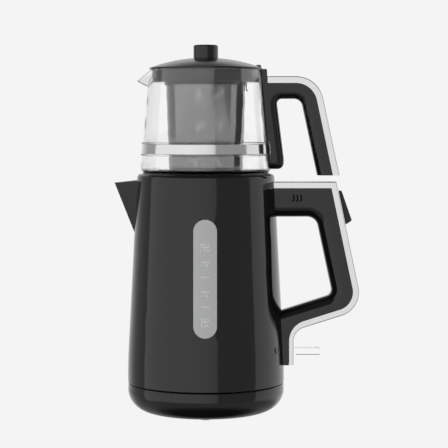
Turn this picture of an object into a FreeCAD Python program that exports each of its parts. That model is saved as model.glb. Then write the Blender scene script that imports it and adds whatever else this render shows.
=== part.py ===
import FreeCAD, Part
import math
import os

# Automatic tea maker: a corded power base, a kettle that lifts off it, and a glass teapot on the kettle.
# Millimetres. The kettle's axis is Z, the table is z = 0, the handles are on +X and the gauge faces -Y.

# Fits and clearances
fit = 0.05
lift_gap = 0.3
swing_gap = 0.8
seat_gap = 0.2
least_round = 1.0

# Power base
foot_stand = 1.6
foot_radius = 6.6
foot_inset = 33.9
foot_stem_radius = 3.0
foot_count = 4
foot_angle = -90.0
base_radius = 82.3
base_lip_inset = 0.4
base_height = 31.3
base_crease_drop = 6.3
base_corner_radius = 23.4
base_edge_round = 0.9
base_wall = 2.5
base_deck_drop = 2.2
cover_thickness = 2.5
cover_ledge = 4.0
base_screw_inset = 33.9
base_screw_angle = 45.0
base_screw_radius = 1.5
base_screw_head_radius = 2.9
base_screw_head_height = 1.5
base_screw_length = 14.0
base_boss_radius = 4.0
hub_radius = 30.0
hub_drop = 0.8
pillar_radius = 12.0
pillar_height = 12.5
pillar_flange_radius = 19.0
pillar_flange_thickness = 2.5
pillar_ring_radius = 6.2
pillar_groove_radius = 9.4
pillar_groove_depth = 9.0
pillar_pin_radius = 2.6
contact_thickness = 0.4
gland_radius = 5.2
gland_bore_radius = 3.2
gland_length = 13.0
gland_height = 17.5
gland_flange_radius = 7.0
gland_flange_thickness = 2.0

# Kettle body
seam_gap = 0.9
kettle_overhang = 0.1
kettle_taper = 10.5
kettle_knee_height = 54.0
kettle_knee_round = 500.0
kettle_height = 251.5
kettle_rim_round = 4.4
kettle_edge_round = 0.9
kettle_wall = 2.8
rim_thickness = 4.9
rim_width = 9.4
floor_height = 74.0
floor_ledge = 4.0
floor_ledge_thickness = 2.5
plate_thickness = 1.2
plate_seal_thickness = 1.5
under_cover_thickness = 2.5

# Kettle controls below the floor
heater_inset = 36.4
heater_tube_radius = 4.0
heater_gap_angle = 40.0
connector_wall = 3.0
connector_roof = 3.0
connector_pin_radius = 1.9
connector_flange_radius = 24.0
connector_flange_thickness = 2.0
thermostat_radius = 24.0
thermostat_height = 18.0
thermostat_arm_thickness = 2.0
under_screw_inset = 16.4
under_screw_radius = 1.5
under_screw_head_radius = 2.9
under_screw_head_height = 1.5
under_screw_length = 11.0
under_screw_count = 3
under_screw_angle = 90.0
under_boss_radius = 4.0
under_boss_height = 22.0

# Spout and its filter
spout_reach = 24.1
spout_tip_drop = 9.7
spout_root_drop = 7.6
spout_low_reach = 4.5
spout_low_drop = 59.3
spout_half_angle = 37.6
spout_wall = 2.2
spout_back_depth = 13.9
filter_width = 40.0
filter_low_drop = 54.5
filter_high_drop = 6.5
filter_thickness = 1.6
filter_depth = 7.3
filter_slot_width = 2.4
filter_slot_pitch = 5.0
filter_border = 4.0
filter_rail = 3.0
filter_rail_depth = 8.4

# Water gauge
gauge_width = 23.9
gauge_low_rise = 13.4
gauge_high_drop = 44.6
gauge_flange = 3.0
gauge_flange_thickness = 1.6
gauge_seal_thickness = 0.8

# Kettle handle: a curved C of moulded plastic under a silver cap
handle_half_width = 15.0
handle_top_drop = 8.5
handle_reach = 53.9
handle_lean = 12.1
handle_arm_rise = 17.6
handle_elbow_height = 86.9
handle_tail_reach = 9.7
handle_tail_height = 50.6
handle_bend_radius = 26.0
handle_elbow_radius = 15.0
trim_depth = 6.6
trim_tail_depth = 4.8
trim_skin = 1.8
trim_groove = 0.4
trim_edge_round = 1.2
grip_arm_height = 37.0
grip_thickness = 21.6
grip_corner_radius = 11.7
grip_low_radius = 6.9
grip_low_thickness = 16.9
grip_edge_round = 12.5
grip_inner_wall = 5.0
grip_side_wall = 4.2
handle_end_wall = 2.0
handle_inside_depth = 11.9
handle_back_wall = 3.0
handle_screw_radius = 2.0
handle_screw_head_radius = 3.6
handle_screw_head_height = 2.2
handle_screw_length = 12.0
handle_screw_drop = 17.0
handle_screw_low_drop = 0.9
handle_boss_radius = 4.6
handle_boss_length = 8.0

# Steam tube inside the handle
steam_tube_radius = 3.2
steam_tube_bore = 2.2
steam_inlet_drop = 28.5
steam_tube_end_height = 89.0
steam_bend_radius = 10.0

# Rocker for keeping warm, in the grip's back
rocker_half_width = 8.0
rocker_top_drop = 9.8
rocker_pin_drop = 25.9
rocker_reach = 20.4
rocker_proud_top = 3.6
rocker_proud_low = 8.4
rocker_depth = 9.0
rocker_pin_radius = 1.5
rocker_frame_wall = 1.6
rocker_slot_room = 0.6
rocker_edge_round = 0.6
rocker_top_fall = 1.8
rocker_back_reach = 3.0

# Clear on and off lever in the handle's tail
lever_height = 64.4
lever_thickness = 5.6
lever_half_width = 8.5
lever_reach = 28.0
lever_end_round = 1.6
lever_pivot_depth = 6.9
lever_hub_radius = 2.9
lever_pin_radius = 1.25
lever_inner_depth = 12.4
lever_tail_half_width = 4.0
lever_tail_thickness = 3.0
lever_turn = 10.0
lamp_radius = 1.2
lamp_length = 3.0
lamp_board = 0.8
lamp_board_half_width = 5.0
lamp_board_height = 6.5

# Kettle lid
lid_flange_inset = 5.5
lid_flange_thickness = 2.4
lid_rebate_depth = 1.9
lid_rebate_gap = 0.4
lid_skirt_gap = 0.7
lid_skirt_depth = 14.0
lid_wall = 2.4
lid_edge_round = 0.8
lid_steam_radius = 22.0
lid_steam_collar = 5.0
lid_seal_radius = 1.0
lid_seal_proud = 0.4
lid_seal_drop = 8.0

# Teapot glass
pot_base_inset = 3.8
pot_base_rise = 4.5
pot_taper = 9.1
pot_height = 107.0
pot_corner_radius = 4.2
pot_wall = 2.2
pot_rim_edge_round = 0.8
pot_inside_depth = 6.6
pot_floor = 2.6
pot_stand_gap = 0.3
lip_reach = 12.6
lip_tip_drop = 11.8
lip_low_drop = 17.7
lip_top_drop = 3.1
lip_half_angle = 42.0

# Teapot clamp band
band_rise = 17.7
band_width = 13.9
band_thickness = 0.9
ridge_proud = 1.7
ridge_height = 1.9
ridge_round = 0.7
band_screw_radius = 1.6
band_screw_head_radius = 3.0
band_screw_head_height = 2.0
band_screw_recess = 0.8

# Teapot handle
pot_handle_half_width = 11.5
pot_handle_drop = 6.75
pot_handle_reach = 58.5
pot_handle_lean = 12.2
pot_handle_end_drop = 3.0
pot_handle_bend_radius = 29.5
pot_trim_depth = 7.0
pot_trim_skin = 1.6
pot_trim_edge_round = 1.2
pot_trim_start = 5.4
pot_leg_top_rise = 0.7
pot_leg_bottom_rise = 3.5
pot_leg_top_depth = 14.9
pot_leg_low_depth = 13.6
pot_leg_knee_rise = 11.0
pot_leg_edge_round = 1.0
pot_leg_lap = 0.8
pot_arm_height = 23.45
pot_grip_thickness = 15.8
pot_opening_round = 9.0
pot_opening_inner_round = 5.0
pot_grip_round = 8.5
pot_leg_end_round = 6.5
pot_leg_knee_round = 20.0

# Infuser
collar_gap = 0.6
collar_depth = 13.6
collar_thickness = 2.0
collar_flange_inset = 0.6
collar_flange_thickness = 1.0
collar_step_width = 12.6
collar_step_drop = 2.6
collar_corner_round = 1.5
basket_gap = 1.6
basket_taper = 3.0
basket_stand = 0.6
basket_wall = 0.8
basket_lip = 3.0
basket_corner_round = 2.3
hook_width = 7.0
hook_drop = 6.0
hook_reach = 2.6
hook_stem = 1.3
hook_barb = 2.0
hook_undercut = 0.7

# Teapot lid and knob
dome_overhang = 0.2
dome_rise = 10.8
dome_edge = 0.8
dome_wall = 1.8
dome_skirt_gap = 3.2
dome_skirt_depth = 8.0
knob_radius = 12.9
knob_height = 13.8
knob_round = 1.6
knob_crown = 0.8
knob_screw_radius = 1.5
knob_screw_head_radius = 3.6
knob_screw_head_height = 1.6
knob_screw_length = 11.0
lug_length = 5.6
lug_height = 2.6
lug_half_width = 4.0
lug_inset = 1.5
lug_round = 1.2

# Values worked out from the sizes above
base_lip_radius = base_radius - base_lip_inset
foot_circle = base_radius - foot_inset
base_screw_circle = base_radius - base_screw_inset
kettle_foot_radius = base_radius + kettle_overhang
kettle_shoulder_radius = kettle_foot_radius - kettle_taper
rim_opening_radius = kettle_shoulder_radius - rim_width
under_screw_circle = kettle_foot_radius - under_screw_inset
heater_radius = kettle_foot_radius - heater_inset
spout_tip_x = kettle_shoulder_radius + spout_reach
spout_low_x = kettle_shoulder_radius + spout_low_reach
spout_back_x = kettle_shoulder_radius - spout_back_depth
spout_tip_height = kettle_height - spout_tip_drop
spout_root_height = kettle_height - spout_root_drop
spout_low_height = kettle_height - spout_low_drop
filter_low = kettle_height - filter_low_drop
filter_high = kettle_height - filter_high_drop
filter_x = kettle_shoulder_radius - filter_depth
gauge_high = kettle_height - gauge_high_drop
gauge_low = floor_height + gauge_low_rise
handle_top = kettle_height - handle_top_drop
handle_corner_x = kettle_foot_radius + handle_reach
handle_tail_x = kettle_foot_radius + handle_tail_reach
handle_inside_x = kettle_shoulder_radius - handle_inside_depth
grip_arm_bottom = handle_top - grip_arm_height
steam_inlet_height = handle_top - steam_inlet_drop
rocker_high = handle_top - rocker_top_drop
rocker_pin_height = handle_top - rocker_pin_drop
lever_end_x = handle_tail_x + lever_reach
lever_pivot_x = handle_tail_x - lever_pivot_depth
lever_inner_x = kettle_foot_radius - lever_inner_depth
handle_screw_heights = (handle_top - handle_screw_drop, handle_elbow_height - handle_screw_low_drop)
lid_flange_radius = kettle_shoulder_radius - lid_flange_inset
lid_skirt_radius = rim_opening_radius - lid_skirt_gap
lid_seat_height = kettle_height - lid_rebate_depth
lid_flange_low = lid_seat_height + seat_gap
lid_flange_height = lid_flange_low + lid_flange_thickness
pot_low = lid_flange_height + pot_stand_gap
pot_base_radius = kettle_shoulder_radius - pot_base_inset
pot_base_height = pot_low + pot_base_rise
pot_rim_radius = pot_base_radius - pot_taper
pot_rim_height = pot_low + pot_height
pot_inside_x = pot_rim_radius - pot_inside_depth
lip_tip_x = pot_rim_radius + lip_reach
lip_tip_height = pot_rim_height - lip_tip_drop
lip_low_height = pot_rim_height - lip_low_drop
lip_top_height = pot_rim_height - lip_top_drop
band_low = pot_low + band_rise
band_high = band_low + band_width
pot_handle_top = pot_rim_height - pot_handle_drop
pot_handle_corner_x = pot_rim_radius + pot_handle_reach
pot_handle_end = pot_low - pot_handle_end_drop
pot_trim_start_x = pot_rim_radius + pot_trim_start
pot_leg_top = pot_rim_height + pot_leg_top_rise
pot_leg_bottom = pot_low + pot_leg_bottom_rise
pot_leg_top_x = pot_rim_radius + pot_leg_top_depth
pot_leg_low_x = pot_base_radius + pot_leg_low_depth
pot_leg_knee = pot_leg_bottom + pot_leg_knee_rise
pot_opening_top = pot_handle_top - pot_arm_height
collar_radius = pot_rim_radius - pot_wall - collar_gap
collar_low = pot_rim_height - collar_depth
collar_flange_radius = pot_rim_radius - collar_flange_inset
collar_step_radius = collar_radius - collar_step_width
basket_top_radius = collar_step_radius - basket_gap
basket_low_radius = basket_top_radius - basket_taper
basket_low = pot_low + pot_floor + basket_stand
dome_radius = pot_rim_radius + dome_overhang
dome_skirt_radius = collar_radius - collar_thickness - dome_skirt_gap
deck_top = base_height - base_deck_drop
deck_low = deck_top - base_wall
kettle_low = base_height + seam_gap
under_cover_top = kettle_low + under_cover_thickness
pillar_top = deck_top + pillar_height
cover_top = foot_stand + cover_thickness
cover_radius = base_radius - base_corner_radius + cover_ledge / 2.0
connector_radius = pillar_radius + contact_thickness + swing_gap
socket_roof = pillar_top + swing_gap
handle_slope = math.tan(math.radians(handle_lean))
arm_slope = math.tan(math.radians(handle_arm_rise))
pot_handle_slope = math.tan(math.radians(pot_handle_lean))
rim_low = kettle_height - rim_thickness
dome_low = pot_rim_height + collar_flange_thickness + seat_gap
rocker_low = rocker_pin_height - rocker_reach
dome_top = dome_low + dome_edge + dome_rise


def vec(x, y, z):
    return FreeCAD.Vector(x, y, z)


def corner_points(before, corner, after):
    here = vec(corner[0], 0, corner[1])
    radius = corner[2]
    if radius == 0:
        return here, here, here
    back = (vec(before[0], 0, before[1]) - here).normalize()
    ahead = (vec(after[0], 0, after[1]) - here).normalize()
    half = back.getAngle(ahead) / 2.0
    reach = radius / math.tan(half)
    depth = radius / math.sin(half) - radius
    middle = here + (back + ahead).normalize() * depth
    return here + back * reach, middle, here + ahead * reach


def xz_face(corners):
    """A flat face in the XZ plane from corners (x, z, rounding radius)."""
    count = len(corners)
    rounds = []
    for index in range(count):
        before = corners[index - 1]
        after = corners[(index + 1) % count]
        rounds.append(corner_points(before, corners[index], after))
    edges = []
    shortest = 1e-6
    for index in range(count):
        first, middle, last = rounds[index]
        start = rounds[index - 1][2]
        if (first - start).Length > shortest:
            edges.append(Part.LineSegment(start, first).toShape())
        if corners[index][2] > 0:
            edges.append(Part.Arc(first, middle, last).toShape())
    return Part.Face(Part.Wire(edges))


def turned(corners):
    """A body turned about the Z axis."""
    return xz_face(corners).revolve(vec(0, 0, 0), vec(0, 0, 1), 360)


def slab(corners, half_width):
    """A plate cut from the XZ plane, centred on y = 0."""
    face = xz_face(corners)
    face.translate(vec(0, -half_width, 0))
    return face.extrude(vec(0, 2.0 * half_width, 0))


def post(radius, low, high, x=0.0, y=0.0):
    return Part.makeCylinder(radius, high - low, vec(x, y, low))


def ring(outer, inner, low, high):
    return post(outer, low, high).cut(post(inner, low, high))


def rod(radius, start, end):
    return Part.makeCylinder(radius, (end - start).Length, start, end - start)


def block(x_low, x_high, half_width, z_low, z_high):
    return Part.makeBox(x_high - x_low, 2.0 * half_width, z_high - z_low,
                        vec(x_low, -half_width, z_low))


def ring_points(radius, count, first_angle):
    points = []
    for index in range(count):
        angle = math.radians(first_angle + index * 360.0 / count)
        points.append((radius * math.cos(angle), radius * math.sin(angle)))
    return points


def joined(shapes):
    result = shapes[0]
    for shape in shapes[1:]:
        result = result.fuse(shape)
    return result.removeSplitter()


# Power base

def base_shell():
    crease = base_height - base_crease_drop
    knee = base_corner_radius
    flat_radius = base_radius - knee
    inner_round = knee - base_wall
    hole = flat_radius - cover_ledge / 2.0
    outer = [
        (flat_radius - cover_ledge, foot_stand, 0),
        (base_radius, foot_stand, knee),
        (base_radius, crease, 0),
        (base_lip_radius, base_height, base_edge_round),
        (base_lip_radius - base_wall, base_height, base_edge_round),
        (base_lip_radius - base_wall, deck_top, 0),
        (pillar_radius + fit, deck_top, 0),
        (pillar_radius + fit, deck_low, 0),
        (base_radius - base_wall, deck_low, 0),
        (base_radius - base_wall, foot_stand + base_wall, inner_round),
        (flat_radius - cover_ledge, foot_stand + base_wall, 0),
    ]
    shell = turned(outer)
    seat = post(cover_radius + fit, 0, cover_top)
    shell = shell.cut(seat)
    ledge = ring(flat_radius + cover_ledge, hole, cover_top, cover_top + base_wall)
    shell = shell.fuse(ledge)
    for x, y in ring_points(base_screw_circle, foot_count, base_screw_angle):
        shell = shell.fuse(post(base_boss_radius, cover_top, deck_low, x, y))
        shell = shell.cut(post(base_screw_radius, cover_top, cover_top + base_screw_length, x, y))
    outside = base_radius + gland_flange_thickness
    channel = rod(gland_radius, vec(0, outside, gland_height),
                  vec(0, outside - gland_length, gland_height))
    return shell.cut(channel).removeSplitter()


def base_bottom_cover():
    hub = post(hub_radius, foot_stand - hub_drop, cover_top)
    cover = post(cover_radius, foot_stand, cover_top).fuse(hub)
    for x, y in ring_points(foot_circle, foot_count, foot_angle):
        cover = cover.cut(post(foot_stem_radius, foot_stand, cover_top, x, y))
    for x, y in ring_points(base_screw_circle, foot_count, base_screw_angle):
        sink = Part.makeCone(base_screw_head_radius, base_screw_radius, base_screw_head_height,
                             vec(x, y, foot_stand))
        cover = cover.cut(sink).cut(post(base_screw_radius, foot_stand, cover_top, x, y))
    return cover.removeSplitter()


def base_feet():
    feet = []
    for x, y in ring_points(foot_circle, foot_count, foot_angle):
        pad = post(foot_radius, 0, foot_stand, x, y)
        stem = post(foot_stem_radius, foot_stand, cover_top + foot_stand, x, y)
        feet.append(joined([pad, stem]))
    return Part.makeCompound(feet)


def countersunk_screw(radius, head_radius, head_height, length, x, y, low):
    head = Part.makeCone(head_radius, radius, head_height, vec(x, y, low))
    return head.fuse(post(radius, low + head_height, low + length, x, y)).removeSplitter()


def base_screws():
    screws = []
    for x, y in ring_points(base_screw_circle, foot_count, base_screw_angle):
        screws.append(countersunk_screw(base_screw_radius, base_screw_head_radius,
                                        base_screw_head_height,
                                        base_screw_length, x, y, foot_stand))
    return Part.makeCompound(screws)


def base_connector_pillar():
    flange = post(pillar_flange_radius, deck_low - pillar_flange_thickness, deck_low)
    pillar = flange.fuse(post(pillar_radius, deck_low, pillar_top))
    groove = ring(pillar_groove_radius, pillar_ring_radius, pillar_top - pillar_groove_depth,
                  pillar_top)
    pin_hole = post(pillar_pin_radius, pillar_top - pillar_groove_depth, pillar_top)
    return pillar.cut(groove).cut(pin_hole).removeSplitter()


def connector_contacts():
    low = pillar_top - pillar_groove_depth
    high = pillar_top - contact_thickness
    outer = ring(pillar_radius + contact_thickness, pillar_radius, deck_top + contact_thickness, high)
    middle = ring(pillar_groove_radius, pillar_groove_radius - contact_thickness, low, high)
    floor = post(pillar_pin_radius, low, low + contact_thickness)
    return Part.makeCompound([outer, middle, floor])


def cord_gland():
    outside = base_radius + gland_flange_thickness
    body = rod(gland_radius, vec(0, outside, gland_height),
               vec(0, outside - gland_length, gland_height))
    flange_end = outside - gland_length + gland_flange_thickness
    flange = rod(gland_flange_radius, vec(0, flange_end, gland_height),
                 vec(0, outside - gland_length, gland_height))
    bore = rod(gland_bore_radius, vec(0, outside, gland_height),
               vec(0, outside - gland_length, gland_height))
    return body.fuse(flange).cut(bore).removeSplitter()


# Kettle body and what closes it

def kettle_radius(height):
    slope = (kettle_foot_radius - kettle_shoulder_radius) / (kettle_height - kettle_knee_height)
    return kettle_foot_radius - slope * max(height - kettle_knee_height, 0)


def kettle_form(offset, low, high):
    """The kettle's outer form, grown by offset, between two heights."""
    corners = [
        (0, low, 0),
        (kettle_foot_radius + offset, low, 0),
        (kettle_foot_radius + offset, kettle_knee_height, kettle_knee_round),
        (kettle_radius(high) + offset, high, 0),
        (0, high, 0),
    ]
    return turned(corners)


def spout_channel(wall):
    """The beak's V, sheared along its front edge; wall moves the sides in."""
    slope = (spout_tip_x - spout_low_x) / (spout_tip_height - spout_low_height)
    spread = math.tan(math.radians(spout_half_angle))
    inset = wall / math.sin(math.radians(spout_half_angle))
    sections = []
    for height in (kettle_height, spout_low_height - filter_border):
        tip = spout_tip_x + slope * (height - spout_tip_height) - inset
        half = spread * (tip - spout_back_x)
        corners = [vec(-tip, 0, height), vec(-spout_back_x, half, height),
                   vec(-spout_back_x, -half, height)]
        sections.append(Part.makePolygon(corners + [corners[0]]))
    return Part.makeLoft(sections, True, True)


def spout_top_cut():
    """Everything above the beak's sloping top edge."""
    slope = (spout_root_height - spout_tip_height) / (spout_tip_x - kettle_shoulder_radius)
    far = 2.0 * spout_tip_x
    corners = [
        (-far, spout_tip_height - slope * (far - spout_tip_x), 0),
        (0, spout_tip_height + slope * spout_tip_x, 0),
        (0, kettle_height + far, 0),
        (-far, kettle_height + far, 0),
    ]
    return slab(corners, far)


def spout():
    beak = spout_channel(0).cut(spout_channel(spout_wall))
    beak = beak.cut(spout_top_cut())
    return beak.cut(kettle_form(0, 0, kettle_height))


def spout_filter():
    half = filter_width / 2.0
    plate = block(-filter_x - filter_thickness, -filter_x, half, filter_low, filter_high)
    slots = int((filter_high - filter_low - 2.0 * filter_border) / filter_slot_pitch)
    for index in range(slots):
        low = filter_low + filter_border + index * filter_slot_pitch
        plate = plate.cut(block(-filter_x - filter_thickness, -filter_x, half - filter_border,
                                low, low + filter_slot_width))
    return plate


def gauge_plate(grow):
    half = gauge_width / 2.0 + grow
    corners = [
        (-half, gauge_low - grow, half),
        (half, gauge_low - grow, half),
        (half, gauge_high + grow, half),
        (-half, gauge_high + grow, half),
    ]
    return slab(corners, 2.0 * kettle_foot_radius)


def front_half():
    size = 2.0 * kettle_foot_radius
    return Part.makeBox(2.0 * size, size, 2.0 * kettle_height, vec(-size, -size, 0))


def kettle_body():
    ledge_top = floor_height - plate_seal_thickness
    inner_foot = kettle_foot_radius - kettle_wall
    corners = [
        (kettle_foot_radius, kettle_low, kettle_edge_round),
        (kettle_foot_radius, kettle_knee_height, kettle_knee_round),
        (kettle_shoulder_radius, kettle_height, kettle_rim_round),
        (lid_flange_radius + lid_rebate_gap, kettle_height, 0),
        (lid_flange_radius + lid_rebate_gap, lid_seat_height, 0),
        (rim_opening_radius, lid_seat_height, 0),
        (rim_opening_radius, rim_low, 0),
        (kettle_radius(rim_low) - kettle_wall, rim_low, 0),
        (kettle_radius(ledge_top) - kettle_wall, ledge_top, 0),
        (inner_foot - floor_ledge, ledge_top, 0),
        (inner_foot - floor_ledge, ledge_top - floor_ledge_thickness, 0),
        (inner_foot, ledge_top - floor_ledge_thickness, 0),
        (inner_foot, kettle_low, 0),
    ]
    body = turned(corners)
    window = gauge_plate(0).common(front_half())
    body = body.cut(window)
    passage = spout_channel(spout_wall).cut(spout_top_cut())
    body = body.cut(passage)
    for side in (-1, 1):
        rail_low_y = side * filter_width / 2.0
        rail_y = min(rail_low_y, rail_low_y + side * filter_rail)
        rail = Part.makeBox(filter_rail_depth, filter_rail, filter_high - filter_low,
                            vec(-filter_x - filter_rail_depth, rail_y, filter_low))
        body = body.fuse(rail.common(kettle_form(-kettle_wall / 2.0, 0, kettle_height)))
    for x, y in ring_points(under_screw_circle, under_screw_count, under_screw_angle):
        boss = post(under_boss_radius, under_cover_top, under_cover_top + under_boss_height, x, y)
        reach = kettle_foot_radius - kettle_wall / 2.0 - under_screw_circle
        rib = Part.makeBox(reach, kettle_wall, under_boss_height,
                           vec(0, -kettle_wall / 2.0, under_cover_top))
        rib.rotate(vec(0, 0, 0), vec(0, 0, 1), math.degrees(math.atan2(y, x)))
        rib.translate(vec(x, y, 0))
        body = body.fuse(boss.fuse(rib))
        body = body.cut(post(under_screw_radius, under_cover_top, kettle_low + under_screw_length, x,
                             y))
    for height in handle_screw_heights:
        body = body.cut(rod(handle_screw_radius, vec(handle_inside_x, 0, height),
                            vec(kettle_foot_radius, 0, height)))
    body = body.cut(rod(steam_tube_radius, vec(handle_inside_x, 0, steam_inlet_height),
                        vec(kettle_foot_radius, 0, steam_inlet_height)))
    tail_room = lever_tail_thickness / 2.0 + swing_gap + lever_turn_drop(lever_inner_x)
    body = body.cut(block(handle_inside_x, kettle_foot_radius + kettle_wall,
                          lever_tail_half_width + swing_gap,
                          lever_height - tail_room, lever_height + tail_room))
    return body.removeSplitter()


def water_gauge():
    window = gauge_plate(-fit).common(front_half())
    flange = gauge_plate(gauge_flange).common(front_half())
    inner = gauge_seal_thickness + kettle_wall
    skin = kettle_form(0, 0, kettle_height).cut(kettle_form(-inner, 0, kettle_height))
    back = kettle_form(-inner, 0, kettle_height).cut(
        kettle_form(-inner - gauge_flange_thickness, 0, kettle_height))
    return window.common(skin).fuse(flange.common(back)).removeSplitter()


def gauge_seal():
    band = gauge_plate(gauge_flange).cut(gauge_plate(0)).common(front_half())
    layer = kettle_form(-kettle_wall, 0, kettle_height).cut(
        kettle_form(-kettle_wall - gauge_seal_thickness, 0, kettle_height))
    return band.common(layer)


def element_plate():
    radius = kettle_foot_radius - kettle_wall - fit - plate_thickness
    return post(radius, floor_height, floor_height + plate_thickness)


def plate_seal():
    outer = kettle_foot_radius - kettle_wall - fit - plate_thickness
    return ring(outer, outer - floor_ledge + plate_thickness, floor_height - plate_seal_thickness,
                floor_height)


def heating_element():
    centre = floor_height - heater_tube_radius
    circle = Part.makeCircle(heater_tube_radius, vec(heater_radius, 0, centre), vec(0, 1, 0))
    face = Part.Face(Part.Wire([circle]))
    tube = face.revolve(vec(0, 0, centre), vec(0, 0, 1), 360.0 - heater_gap_angle)
    tube.rotate(vec(0, 0, 0), vec(0, 0, 1), heater_gap_angle / 2.0)
    return tube


def kettle_connector():
    roof = socket_roof + connector_roof
    outer = connector_radius + connector_wall
    cup = post(outer, kettle_low, roof)
    cup = cup.cut(post(connector_radius, kettle_low, socket_roof))
    flange = ring(connector_flange_radius, outer, under_cover_top,
                  under_cover_top + connector_flange_thickness)
    pin = post(connector_pin_radius, pillar_top - pillar_groove_depth / 2.0, socket_roof)
    return joined([cup, flange, pin])


def thermostat_control():
    low = socket_roof + connector_roof
    body = post(thermostat_radius, low, low + thermostat_height)
    arm_top = lever_height - lever_tail_thickness / 2.0 - swing_gap
    arm_end = kettle_foot_radius - kettle_wall - floor_ledge
    arm = block(0, arm_end, lever_tail_half_width, arm_top - thermostat_arm_thickness, arm_top)
    return body.fuse(arm).removeSplitter()


def kettle_bottom_cover():
    outer = kettle_foot_radius - kettle_wall - fit
    hole = connector_radius + connector_wall
    cover = ring(outer, hole, kettle_low, under_cover_top)
    for x, y in ring_points(under_screw_circle, under_screw_count, under_screw_angle):
        sink = Part.makeCone(under_screw_head_radius, under_screw_radius, under_screw_head_height,
                             vec(x, y, kettle_low))
        cover = cover.cut(sink).cut(post(under_screw_radius, kettle_low, under_cover_top, x, y))
    return cover


def kettle_bottom_screws():
    screws = []
    for x, y in ring_points(under_screw_circle, under_screw_count, under_screw_angle):
        screws.append(countersunk_screw(under_screw_radius, under_screw_head_radius,
                                        under_screw_head_height,
                                        under_screw_length, x, y, kettle_low))
    return Part.makeCompound(screws)


# Kettle handle

def handle_line(inset, height):
    """X of the handle's back, moved in by inset, at a height on the grip."""
    lean = math.radians(handle_lean)
    return handle_corner_x + handle_slope * (handle_top - height) - inset / math.cos(lean)


def handle_curve(inset, tail_inset):
    """Corners of the handle's back, moved in by inset: top, bend, elbow and tail end."""
    rise = math.radians(handle_arm_rise)
    base = handle_elbow_height + inset / math.cos(rise) - arm_slope * handle_tail_x
    tail_x = handle_tail_x - tail_inset
    back_start = handle_line(inset, 0)
    bend_height = (base + arm_slope * back_start) / (1.0 + arm_slope * handle_slope)
    bend_x = back_start - handle_slope * bend_height
    elbow_height = base + arm_slope * tail_x
    top = handle_top - inset
    return [
        (handle_line(inset, top), top, 0),
        (bend_x, bend_height, max(handle_bend_radius - inset, least_round)),
        (tail_x, elbow_height, handle_elbow_radius + inset),
        (tail_x, handle_tail_height, 0),
    ]


def handle_opening():
    """Corners of the finger opening, open towards the kettle."""
    inset = trim_depth + grip_thickness
    rise = math.radians(handle_arm_rise)
    low_inset = trim_depth + grip_low_thickness
    base = handle_elbow_height + low_inset / math.cos(rise) - arm_slope * handle_tail_x
    back_start = handle_line(inset, 0)
    low_height = (base + arm_slope * back_start) / (1.0 + arm_slope * handle_slope)
    low_x = back_start - handle_slope * low_height
    return [
        (handle_inside_x, grip_arm_bottom, 0),
        (handle_line(inset, grip_arm_bottom), grip_arm_bottom, grip_corner_radius),
        (low_x, low_height, grip_low_radius),
        (handle_inside_x, base + arm_slope * handle_inside_x, 0),
    ]


def edges_on(solid, tool, half_width):
    """Edges of the solid that lie on the tool's side surfaces, on the solid's two flat faces."""
    near = 1e-4
    chosen = []
    for edge in solid.Edges:
        middle = edge.valueAt((edge.FirstParameter + edge.LastParameter) / 2.0)
        if abs(abs(middle.y) - half_width) > near:
            continue
        if tool.distToShape(Part.Vertex(middle))[0] < near:
            chosen.append(edge)
    return chosen


def outer_edges(solid, outline, half_width):
    """Edges of a cap's two side faces that run along its outer line."""
    rounds = []
    for index in range(1, len(outline) - 1):
        rounds.append(corner_points(outline[index - 1], outline[index], outline[index + 1]))
    first = vec(outline[0][0], 0, outline[0][1])
    last = vec(outline[-1][0], 0, outline[-1][1])
    edges = []
    start = first
    for before, middle, after in rounds:
        edges.append(Part.LineSegment(start, before).toShape())
        if (after - before).Length > fit:
            edges.append(Part.Arc(before, middle, after).toShape())
        start = after
    edges.append(Part.LineSegment(start, last).toShape())
    line = Part.Wire(edges).extrude(vec(0, 2.0 * half_width, 0))
    line.translate(vec(0, -half_width, 0))
    return edges_on(solid, line, half_width)


def handle_pocket():
    """The hollow inside the handle, open towards the cap."""
    top, bend, elbow, tail = handle_curve(trim_depth, trim_tail_depth)
    inset = trim_depth + grip_thickness - grip_inner_wall
    low_inset = trim_depth + grip_low_thickness - grip_inner_wall
    rise = math.radians(handle_arm_rise)
    base = handle_elbow_height + low_inset / math.cos(rise) - arm_slope * handle_tail_x
    back_start = handle_line(inset, 0)
    low_height = (base + arm_slope * back_start) / (1.0 + arm_slope * handle_slope)
    low_x = back_start - handle_slope * low_height
    arm_bottom = grip_arm_bottom + grip_inner_wall
    end = handle_tail_height + handle_end_wall
    corners = [
        (handle_inside_x, top[1], 0),
        top,
        bend,
        elbow,
        (tail[0], end, 0),
        (handle_inside_x, end, 0),
        (handle_inside_x, base + arm_slope * handle_inside_x, 0),
        (low_x, low_height, grip_low_radius),
        (handle_line(inset, arm_bottom), arm_bottom, grip_corner_radius),
        (handle_inside_x, arm_bottom, 0),
    ]
    return slab(corners, handle_half_width - grip_side_wall)


def handle_bosses():
    bosses = []
    for height in handle_screw_heights:
        start = kettle_radius(height)
        bosses.append(rod(handle_boss_radius, vec(handle_inside_x, 0, height),
                          vec(start + handle_boss_length, 0, height)))
    return bosses


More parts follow.
